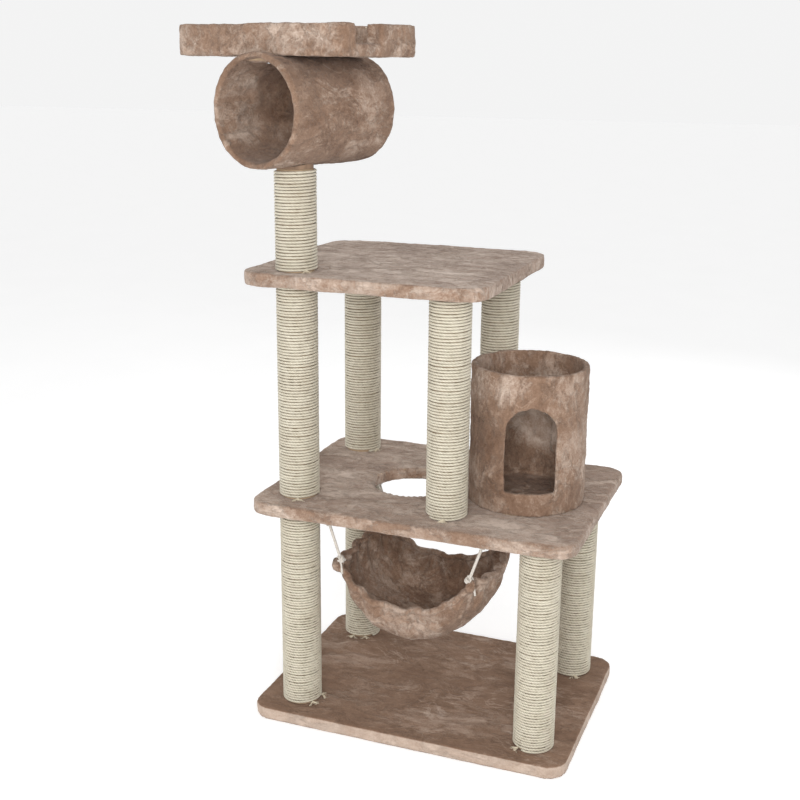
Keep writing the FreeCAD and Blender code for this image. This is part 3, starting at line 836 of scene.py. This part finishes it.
def rope_mesh(name, path, angle):
    """A rope round the path with its length and girth kept as UV for the strand pattern."""
    count = len(path)
    outwards = np.stack([np.cos(angle), np.sin(angle), np.zeros(count)], 1)
    points = []
    for k in range(ROPE_SIDES):
        a = TAU * k / ROPE_SIDES
        points.append(path + ROPE_R * (outwards * math.cos(a) + np.array([0, 0, 1.0]) * math.sin(a)))
    points = np.stack(points, 1).reshape(-1, 3)
    first = np.arange(count - 1)[:, None] * ROPE_SIDES + np.arange(ROPE_SIDES)[None, :]
    second = np.arange(count - 1)[:, None] * ROPE_SIDES + (np.arange(ROPE_SIDES)[None, :] + 1) % ROPE_SIDES
    quads = np.stack([first, first + ROPE_SIDES, second + ROPE_SIDES, second], 2).reshape(-1, 4)
    faces = quads.tolist()
    faces.append(list(range(ROPE_SIDES)))
    faces.append(list(reversed(range((count - 1) * ROPE_SIDES, count * ROPE_SIDES))))
    mesh = mesh_from(name, points, faces)
    steps = np.linalg.norm(np.diff(path, axis=0), axis=1)
    length = np.concatenate([[0], np.cumsum(steps)]) / STRAND_LAY
    girth = np.arange(ROPE_SIDES) / ROPE_SIDES
    u0, u1 = np.meshgrid(length[:-1], girth, indexing="ij")[0], np.meshgrid(length[1:], girth, indexing="ij")[0]
    v0 = np.broadcast_to(girth, u0.shape)
    v1 = v0 + 1 / ROPE_SIDES
    corners = np.stack([np.stack([u0, v0], 2), np.stack([u1, v0], 2), np.stack([u1, v1], 2), np.stack([u0, v1], 2)], 2)
    layer = mesh.uv_layers.new(name="rope")
    flat = np.zeros(len(mesh.loops) * 2)
    flat[: corners.size] = corners.ravel()
    layer.data.foreach_set("uv", flat)
    return mesh


def make_sisal(material):
    """Every post's rope, wound turn by turn in place of its plain sleeve."""
    wraps = sorted(n for n in NODES if n.endswith("_sisal"))
    for number, node in enumerate(wraps):
        low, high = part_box(node)
        middle = (low + high) / 2
        core = (high.x - low.x) / 2 - 2 * ROPE_R - 0.0002
        path, angle = rope_path(middle.x, middle.y, low.z, high.z, core, 100 + 10 * number)
        mesh = rope_mesh(node, path, angle)
        piece(node.replace("_sisal", "_rope"), mesh, material, "frame", [node])


ROPE_ENDS = (
    ("lower_front_left", -35, 1), ("lower_front_left", 20, 1), ("lower_front_right", -125, 1),
    ("lower_back_right", -70, 1), ("lower_back_left", -60, 1), ("lower_back_left", -100, 1),
    ("upper_front_middle", -80, 1), ("upper_front_left", -70, 1), ("top_post", -40, 1),
    ("lower_front_right", 100, -1), ("upper_back_left", -20, 1), ("upper_back_middle", 60, 1),
)


def make_rope_ends(material):
    """Frayed rope ends and loose fibres where the wraps start and stop."""
    rng = random.Random(5)
    parts = []
    for post, heading, level in ROPE_ENDS:
        low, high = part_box(post + "_sisal")
        middle = (low + high) / 2
        a = math.radians(heading)
        out = Vector((math.cos(a), math.sin(a), 0))
        side = Vector((-math.sin(a), math.cos(a), 0))
        edge = low.z if level > 0 else high.z
        root = Vector((middle.x, middle.y, edge + level * 0.004)) + out * ((high.x - low.x) / 2 - 0.002)
        for strand in range(16):
            thick = 0.0019 if strand == 0 else rng.uniform(0.0003, 0.0007)
            reach = rng.uniform(0.006, 0.016)
            swing = rng.uniform(-1.0, 1.0) * 0.014
            run = []
            for i in range(8):
                t = i / 7
                curl = 0.002 * math.sin(3 * t + strand)
                run.append(root + side * (swing * t + curl) + out * reach * t * (1.3 - 0.5 * t)
                           - UP * level * 0.0028 * t * t)
            parts.append(tube_mesh("fibre", run, thick, 6))
    piece("rope_ends", joined("rope_ends", parts), material, "frame")


# ---- hammock -----------------------------------------------------------------------

CORD_DIAMETER = 0.0065
CORD_NAMES = ("front_left", "front_right", "back_left", "back_right")
EYE_WIRE_R = 0.0015
BOWL_DEPTH = 0.178
FRONT_RIM_DROP = 0.082
SIDE_RIM_DROP = 0.018
BOWL_SIDE_BULGE = 0.17
BOWL_FRONT_BULGE = 0.10
CLOTH_CELLS = (76, 68)
CLOTH_FRAMES = 46
CLOTH_CAP = 0.010
CLOTH_JITTER = 0.0004
CLOTH_THICKNESS = 0.0045
RUFFLE = 0.0095
RUFFLE_WAVE = 0.062


def hammock_corners():
    """The cloth's corners, from the cords' lower ends: centre, half widths and height."""
    ends = []
    for name in CORD_NAMES:
        low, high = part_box("cord_" + name)
        pivot = Vector(joint(name + "_cord_swing")["pos_m"])
        middle = (low + high) / 2
        ends.append(Vector((2 * middle.x - pivot.x, pivot.y, low.z + 0.0005)))
    mid = sum(ends, Vector()) / 4
    return mid, abs(ends[0].x - mid.x), abs(ends[0].y - mid.y)


def bowl_point(a, b, mid, half_x, half_y):
    """A point of the hanging cloth: a runs left to right, b front to back, -90 to 90 degrees."""
    ca, sa, cb, sb = math.cos(a), math.sin(a), math.cos(b), math.sin(b)
    x = half_x * sa * (1 + BOWL_SIDE_BULGE * cb * cb)
    y = half_y * sb * (1 + BOWL_FRONT_BULGE * ca * ca)
    drop = BOWL_DEPTH * ca * cb + FRONT_RIM_DROP * ca * sb * sb + SIDE_RIM_DROP * cb * sa * sa
    return (mid.x + x, mid.y + y, mid.z - drop + 0.004)


def ruffle(i, j):
    """How far the cloth stands out of its smooth shape: gathers that fade in from the rims."""
    nx, ny = CLOTH_CELLS
    total = 0.0
    for along, span, inwards, seed in (
        (i, nx, j, 0.0), (i, nx, ny - j, 3.1), (j, ny, i * 1.5, 6.2), (j, ny, (nx - i) * 1.5, 9.4),
    ):
        ends = min(1.0, min(along, span - along) / 6)
        fade = max(0.0, 1 - inwards / 19) ** 1.4 * ends
        place = along / span * 0.34
        phase = place / RUFFLE_WAVE * TAU + 1.6 * noise.noise(Vector((place * 26, seed, 0.5)))
        size = 0.75 + 0.6 * noise.noise(Vector((place * 13, seed, 7.5)))
        total += fade * size * math.sin(phase + seed)
    return total * RUFFLE


def cloth_grid():
    """The cloth as an open grid in its hanging shape."""
    mid, half_x, half_y = hammock_corners()
    nx, ny = CLOTH_CELLS
    points = []
    for j in range(ny + 1):
        for i in range(nx + 1):
            a = math.asin(2 * i / nx - 1) * 0.55 + math.radians(180 * i / nx - 90) * 0.45
            b = math.asin(2 * j / ny - 1) * 0.55 + math.radians(180 * j / ny - 90) * 0.45
            points.append(bowl_point(a, b, mid, half_x, half_y))
    faces = []
    for j in range(ny):
        for i in range(nx):
            k = j * (nx + 1) + i
            faces.append((k, k + 1, k + nx + 2, k + nx + 1))
    mesh = mesh_from("cloth", points, faces)
    out = normals_of(mesh)
    lift = np.array([ruffle(i, j) for j in range(ny + 1) for i in range(nx + 1)])
    put_points(mesh, points_of(mesh) + out * lift[:, None])
    return mesh


def hung_cloth():
    """Let the cloth settle: its rims are cut longer than the hem allows, so that they ruffle."""
    mesh = cloth_grid()
    nx, ny = CLOTH_CELLS
    start = points_of(mesh).copy()
    rng = random.Random(7)
    jitter = np.array([[rng.uniform(-1, 1) for _ in range(3)] for _ in start]) * CLOTH_JITTER
    put_points(mesh, start + jitter)
    thing = add_object("cloth", mesh)
    held = thing.vertex_groups.new(name="held")
    loose = thing.vertex_groups.new(name="loose")
    for j in range(ny + 1):
        for i in range(nx + 1):
            k = j * (nx + 1) + i
            corner = min(math.hypot(i - ci, j - cj) for ci in (0, nx) for cj in (0, ny))
            held.add([k], 1.0 if corner < 2.3 else 0.20, "REPLACE")
            rim = min(j, ny - j, 1.6 * min(i, nx - i))
            loose.add([k], max(0.0, 1 - rim / 15), "REPLACE")
    cloth = thing.modifiers.new("cloth", "CLOTH")
    settings = cloth.settings
    settings.quality = 7
    settings.mass = 0.25
    settings.tension_stiffness = 25
    settings.compression_stiffness = 25
    settings.shear_stiffness = 12
    settings.bending_stiffness = 0.9
    settings.air_damping = 4.0
    settings.vertex_group_mass = "held"
    settings.pin_stiffness = 1.0
    settings.vertex_group_shrink = "loose"
    settings.shrink_min = -0.02
    settings.shrink_max = -0.24
    cloth.collision_settings.use_collision = False
    cloth.collision_settings.use_self_collision = False
    scene = bpy.context.scene
    scene.frame_start, scene.frame_end = 1, CLOTH_FRAMES
    cloth.point_cache.frame_start, cloth.point_cache.frame_end = 1, CLOTH_FRAMES
    for frame_number in range(1, CLOTH_FRAMES + 1):
        scene.frame_set(frame_number)
    made = resolved(thing)
    scene.frame_set(1)
    moved_by = points_of(made) - start
    far = np.linalg.norm(moved_by, axis=1)
    capped = CLOTH_CAP * np.tanh(far / CLOTH_CAP)
    scale = np.where(far > 1e-9, capped / np.maximum(far, 1e-9), 1.0)
    put_points(made, start + moved_by * scale[:, None])
    return made


def rim_path(mesh):
    """The cloth's edge as one closed run of points."""
    nx, ny = CLOTH_CELLS
    points = points_of(mesh)

    def at(i, j):
        return points[j * (nx + 1) + i]

    run = [at(i, 0) for i in range(nx)] + [at(nx, j) for j in range(ny)]
    run += [at(nx - i, ny) for i in range(nx)] + [at(0, ny - j) for j in range(ny)]
    return np.array(run)


def hem_mesh(mesh):
    """The stuffed hem rolled round the cloth's edge, gathered on its drawstring."""
    run = rim_path(mesh)
    run = (np.roll(run, 1, 0) + 2 * run + np.roll(run, -1, 0)) / 4
    count = len(run)
    sides = 14
    mid = run.mean(axis=0)
    step = np.linalg.norm(run - np.roll(run, 1, 0), axis=1)
    along = np.cumsum(step)
    nx, ny = CLOTH_CELLS
    corners = (0, nx, nx + ny, 2 * nx + ny, count)
    points = []
    for k in range(count):
        ear = math.exp(-((min(abs(k - c) for c in corners) / 2.6) ** 2))
        tangent = Vector(run[(k + 1) % count] - run[k - 1]).normalized()
        out = Vector(run[k] - mid)
        out = (out - tangent * out.dot(tangent)).normalized()
        up = tangent.cross(out)
        gather = 0.5 + 0.5 * math.sin(along[k] / 0.019 * TAU / 2 + 2.0 * math.sin(along[k] * 41))
        radius = 0.0062 + 0.0016 * gather + 0.0004 * math.sin(along[k] * 190) + 0.0030 * ear
        core = Vector(run[k]) + (out * 0.011 - UP * 0.006) * ear
        for s in range(sides):
            a = TAU * s / sides
            points.append(core + (out * math.cos(a) * radius * 1.15 + up * math.sin(a) * radius))
    faces = []
    for k in range(count):
        m = (k + 1) % count
        for s in range(sides):
            n = (s + 1) % sides
            faces.append((k * sides + s, k * sides + n, m * sides + n, m * sides + s))
    hem = mesh_from("hem", points, faces)
    puff(hem, ((60.0, 0.0012), (160.0, 0.0006)), 71.0)
    return hem


def make_hammock(material):
    """The hammock's cloth with its gathered hem."""
    mesh = hung_cloth()
    hem = hem_mesh(mesh)
    thing = add_object("cloth", mesh)
    fine = thing.modifiers.new("fine", "SUBSURF")
    fine.levels = fine.render_levels = 1
    thick = thing.modifiers.new("thick", "SOLIDIFY")
    thick.thickness = CLOTH_THICKNESS
    thick.offset = 0.0
    mesh = resolved(thing)
    puff(mesh, ((32.0, 0.0014), (110.0, 0.0007)), 83.0)
    cloth = piece("hammock_sheet", mesh, material, "hammock", ["hammock_cloth"])
    rolled = piece("hammock_hem", hem, material, "hammock")


def tube_mesh(name, path, radius, sides=10, closed=False):
    """A tube along points; an open one has capped ends."""
    path = [Vector(p) for p in path]
    count = len(path)
    points = []
    normal = None
    for k, p in enumerate(path):
        ahead = path[(k + 1) % count] if closed or k < count - 1 else p
        behind = path[k - 1] if closed or k > 0 else p
        tangent = (ahead - behind).normalized()
        if normal is None:
            normal = tangent.orthogonal().normalized()
        normal = (normal - tangent * normal.dot(tangent)).normalized()
        side = tangent.cross(normal)
        for s in range(sides):
            a = TAU * s / sides
            points.append(p + (normal * math.cos(a) + side * math.sin(a)) * radius)
    faces = []
    for k in range(count if closed else count - 1):
        m = (k + 1) % count
        for s in range(sides):
            n = (s + 1) % sides
            faces.append((k * sides + s, k * sides + n, m * sides + n, m * sides + s))
    if not closed:
        faces.append(tuple(reversed(range(sides))))
        faces.append(tuple(range((count - 1) * sides, count * sides)))
    return mesh_from(name, points, faces)


def wrap_path(place, axis, radius, pitch, turns, start=0.0):
    """A helix round an axis, as a whipping is wound."""
    axis = axis.normalized()
    side = axis.orthogonal().normalized()
    other = axis.cross(side)
    run = []
    steps = int(turns * 22)
    for i in range(steps + 1):
        a = TAU * i / 22 + start
        lift = pitch * (i / 22 - turns / 2)
        run.append(place + axis * lift + (side * math.cos(a) + other * math.sin(a)) * radius)
    return run


def joined(name, meshes):
    """Several meshes as one."""
    work = bmesh.new()
    for mesh in meshes:
        work.from_mesh(mesh)
    made = bpy.data.meshes.new(name)
    work.to_mesh(made)
    work.free()
    return made


def eye_loop(pivot, axis):
    """The cord's bight through its screw eye, whipped just below."""
    strand = 0.0027
    bend = EYE_WIRE_R + strand + 0.0004
    side = Vector((0, 1, 0))
    run = []
    for i in range(17):
        a = math.pi * i / 16
        run.append(pivot + side * math.cos(a) * bend - axis * math.sin(a) * bend)
    for depth, gap in ((0.004, 1.0), (0.009, 0.9), (0.014, 0.75)):
        run.append(pivot - side * bend * gap + axis * depth)
        run.insert(0, pivot + side * bend * gap + axis * depth)
    parts = [tube_mesh("bight", run, strand)]
    parts.append(tube_mesh("whip", wrap_path(pivot + axis * 0.0165, axis, 0.0052, 0.0042, 2.6), 0.0022))
    return joined("eye_loop", parts)


def corner_knot(corner, axis, inwards):
    """The cord's knot round the cloth's gathered corner, with its loose end."""
    lean = (inwards * 0.55 + axis * 0.85).normalized()
    parts = [tube_mesh("wrap", wrap_path(corner - axis * 0.004, lean, 0.0066, 0.0052, 2.4, 1.0), 0.0028)]
    parts.append(tube_mesh("over", wrap_path(corner - axis * 0.004, lean.orthogonal(), 0.0064, 0.003, 1.2), 0.0028))
    tail = []
    side = axis.cross(inwards).normalized()
    for i in range(9):
        t = i / 8
        tail.append(corner - inwards * 0.006 + side * (0.004 + 0.010 * t) + Vector((0, 0, -0.026 * t * t - 0.004 * t)))
    parts.append(tube_mesh("tail", tail, 0.0025))
    return joined("corner_knot", parts)


def make_cords(material):
    """The four cords that carry the hammock, each pulled straight between its eye and the cloth."""
    middle = hammock_corners()[0]
    for name in CORD_NAMES:
        node = "cord_" + name
        low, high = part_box(node)
        pivot = Vector(joint(name + "_cord_swing")["pos_m"])
        bottom = Vector((low.x + high.x - pivot.x, pivot.y, low.z + 0.001))
        axis = (bottom - pivot).normalized()
        top = pivot + axis * 0.006
        curve = bpy.data.curves.new(node, "CURVE")
        curve.dimensions = "3D"
        spline = curve.splines.new("NURBS")
        spline.points.add(1)
        for point, place in zip(spline.points, (top, bottom)):
            point.co = (*place, 1.0)
        spline.order_u = 3
        spline.use_endpoint_u = True
        curve.bevel_depth = CORD_DIAMETER / 2
        curve.bevel_resolution = 3
        curve.use_fill_caps = True
        curve.materials.append(material)
        cord = add_object("hammock_" + node, curve)
        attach(cord, node)
        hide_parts(node)
        loop = piece(node + "_loop", eye_loop(pivot, axis), material, node)
        inwards = Vector((middle.x - bottom.x, middle.y - bottom.y, -0.1)).normalized()
        knot = piece(node + "_knot", corner_knot(bottom, axis, inwards), material, node)


# ---- put it together ---------------------------------------------------------------

def main():
    """Make the scene."""
    make_camera()
    make_studio()
    plush = plush_material("plush", 0.075)
    # painted light: the condo patch at (0.197, 0.100, 0.69) brightens the inside back wall of the drum, where light
    # comes in at the door
    condo_plush = plush_material("condo_plush", 0.02, (1.15, 1.15, 0.8), patches=(
        ((0.100, -0.092, 0.69), 0.070, -0.17), ((0.306, -0.072, 0.74), 0.085, 0.07),
        ((0.205, -0.135, 0.795), 0.045, 0.08), ((0.197, 0.100, 0.69), 0.085, 0.30),
        ((0.197, -0.013, 0.545), 0.080, -0.12), ((0.150, -0.125, 0.56), 0.035, -0.12),
    ))
    # painted shade: the tunnel's plush is made darker overall by its lean, for the tray's shade over it as well as its
    # darker pile
    tunnel_plush = plush_material("tunnel_plush", -0.08, (1.0, 0.6, 1.0), patches=(
        ((-0.375, -0.22, 1.35), 0.075, 0.20), ((-0.16, -0.10, 1.29), 0.050, 0.14),
    ))
    # painted light: edge=0.03 lightens the decks' side faces
    deck_plush = plush_material("deck_plush", 0.085, (0.75, 1.1, 1.1), sheen=0.34, edge=0.03, patches=(
        ((-0.05, -0.20, 0.523), 0.065, 0.02), ((-0.02, 0.14, 0.523), 0.070, -0.14),
        ((0.24, -0.22, 0.523), 0.080, 0.12), ((-0.20, 0.05, 0.523), 0.060, -0.05),
        ((0.02, -0.10, 1.019), 0.085, 0.08), ((-0.15, 0.18, 1.019), 0.080, -0.07),
    ))
    # painted light: the 0.34 here is edge, lightening the base's side faces
    base_plush = plush_material("base_plush", -0.015, (0.7, 1.3, 1.3), 0.8, 0.66, 0.05, 0.34, 0.13)
    hammock_plush = plush_material("hammock_plush", 0.04, scale=1.2)
    make_deck_cover("base_cover", base_plush, 1.0, open_below=True)
    make_deck_cover("mid_cover", deck_plush, 9.0, hole=True)
    make_deck_cover("upper_cover", deck_plush, 17.0)
    make_condo(condo_plush)
    make_tunnel(tunnel_plush)
    make_tray(plush)
    make_sisal(sisal_material())
    make_rope_ends(frayed_material())
    make_cords(cord_material())
    make_hammock(hammock_plush)
    board = particle_board_material()
    wood = plug_wood_material()
    card = cardboard_material()
    foam = foam_material()
    steel = steel_material()
    finishes = {
        "particle_board": board, "plug_wood": wood, "cardboard": card, "foam": foam, "zinc_steel": steel,
        "plush": plush, "base_plush": base_plush, "hammock_plush": plush, "sisal": wood, "cord": wood,
    }
    slots = {row["node"]: row["material_slot"] for row in frame["record"]["subparts"]}
    for node, thing in NODES.items():
        thing.data.materials.clear()
        thing.data.materials.append(finishes[slots[node]])


main()
